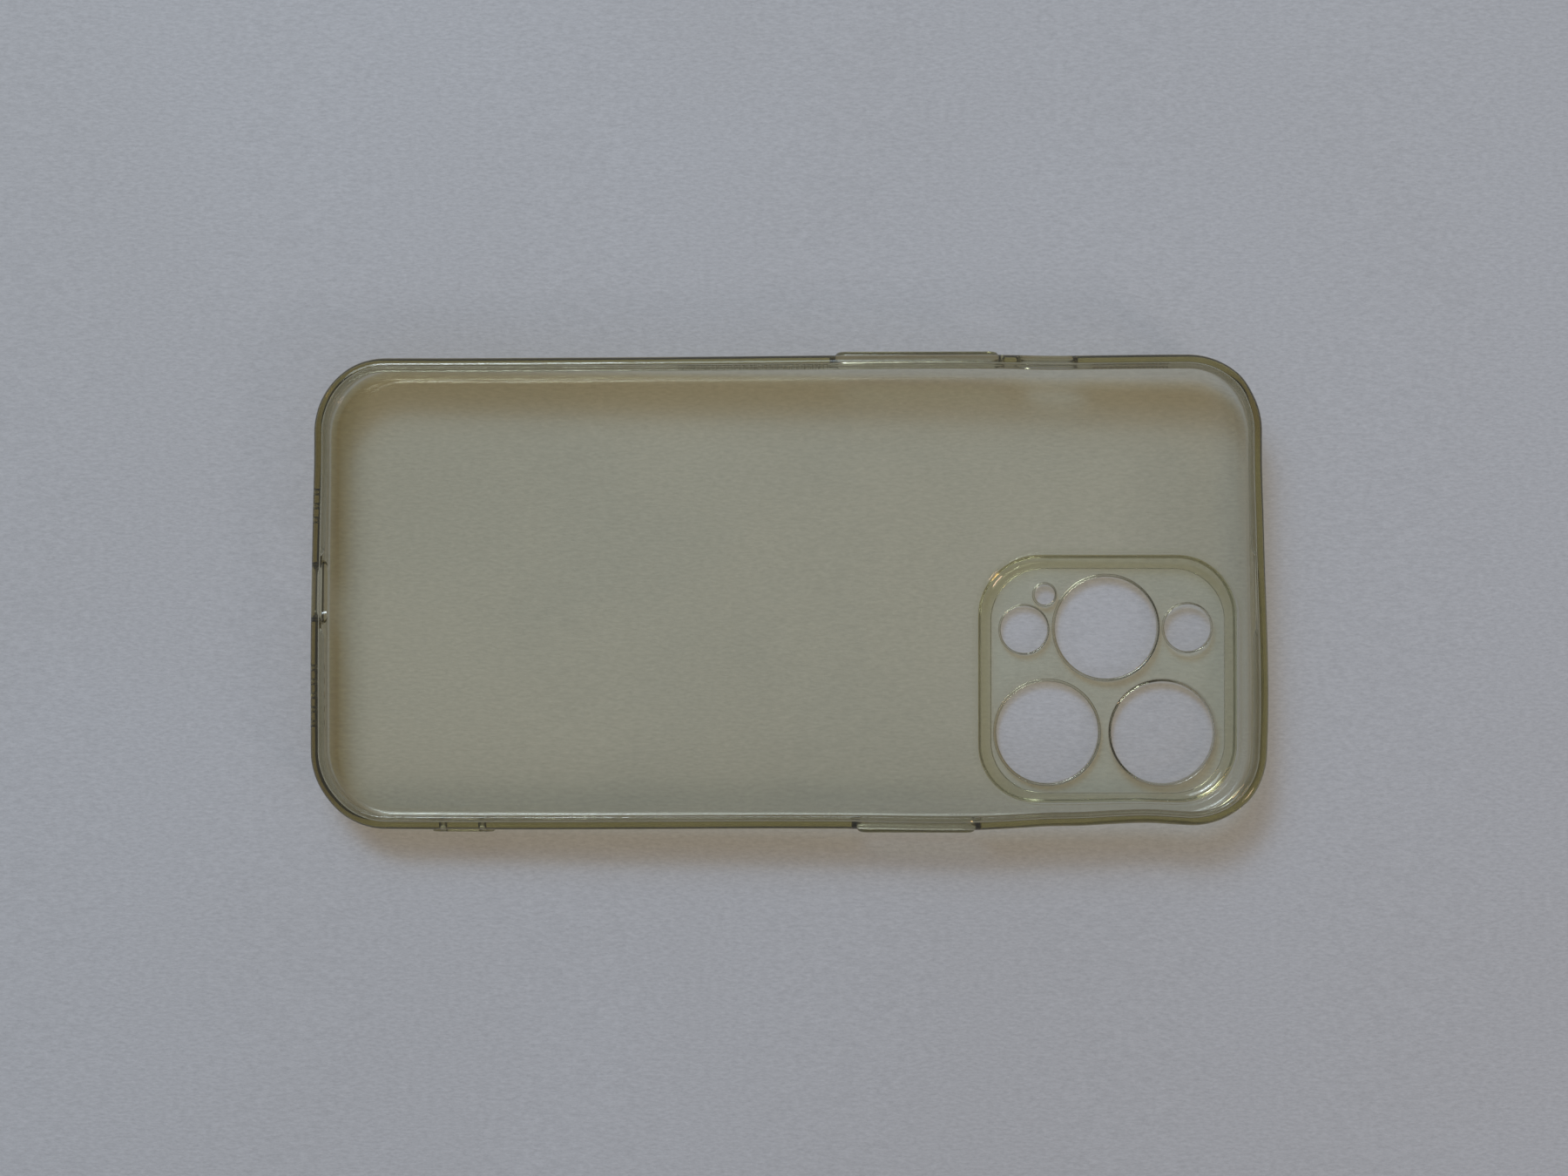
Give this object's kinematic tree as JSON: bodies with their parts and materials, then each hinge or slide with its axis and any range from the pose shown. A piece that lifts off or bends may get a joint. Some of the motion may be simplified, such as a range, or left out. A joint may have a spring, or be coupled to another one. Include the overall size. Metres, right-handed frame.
{
  "type": "phone case",
  "caption": "Clear soft slip-on phone case, open at the front, with a recessed camera deck, soft button covers, a mute-switch window, a charge-port window and a lanyard loop.",
  "frame": {"origin": "on the resting plane under the middle of the outer box", "axes": "+X towards the camera end, +Y towards the volume side, +Z out of the open front"},
  "size_m": [0.1492, 0.0754, 0.0121],
  "materials": {
    "hazy_back": "clear flexible plastic, yellowed with age, slightly hazy",
    "clear_deck": "clear flexible plastic, lightly yellowed, glossy",
    "yellowed_edge": "clear flexible plastic seen along its thickness, olive yellow, glossy",
    "clear_cover": "clear flexible plastic, yellowed, glossy"
  },
  "bodies": {
    "shell": {"back_panel": "hazy_back", "camera_deck": "clear_deck", "camera_pocket_wall": "clear_deck", "lens_collar_inner": "clear_deck", "lens_collar_port_side": "clear_deck", "lens_collar_top_side": "clear_deck", "flash_hole_collar": "clear_deck", "sensor_hole_collar": "clear_deck", "microphone_hole_collar": "clear_deck", "camera_guard_rim": "yellowed_edge", "volume_side_wall": "yellowed_edge", "lock_side_wall": "yellowed_edge", "top_end_wall": "yellowed_edge", "port_end_wall": "yellowed_edge", "corner_bumper_top_volume": "yellowed_edge", "corner_bumper_top_lock": "yellowed_edge", "corner_bumper_port_volume": "yellowed_edge", "corner_bumper_port_lock": "yellowed_edge", "volume_side_lip": "yellowed_edge", "lock_side_lip": "yellowed_edge", "top_end_lip": "yellowed_edge", "port_end_lip": "yellowed_edge", "lanyard_loop": "yellowed_edge", "volume_button_web": "clear_cover", "lock_button_web": "clear_cover"},
    "volume_button": {"volume_button_cover": "clear_cover"},
    "lock_button": {"lock_button_cover": "clear_cover"}
  },
  "joints": [
    {"name": "volume_button_press", "type": "slide", "parent": "shell", "child": "volume_button", "axis": [0, -1, 0], "range_m": [0, 0.0004], "stiffness_N_per_m": 4000, "deforming": ["volume_button_web"]},
    {"name": "lock_button_press", "type": "slide", "parent": "shell", "child": "lock_button", "axis": [0, 1, 0], "range_m": [0, 0.0004], "stiffness_N_per_m": 4000, "deforming": ["lock_button_web"]}
  ]
}
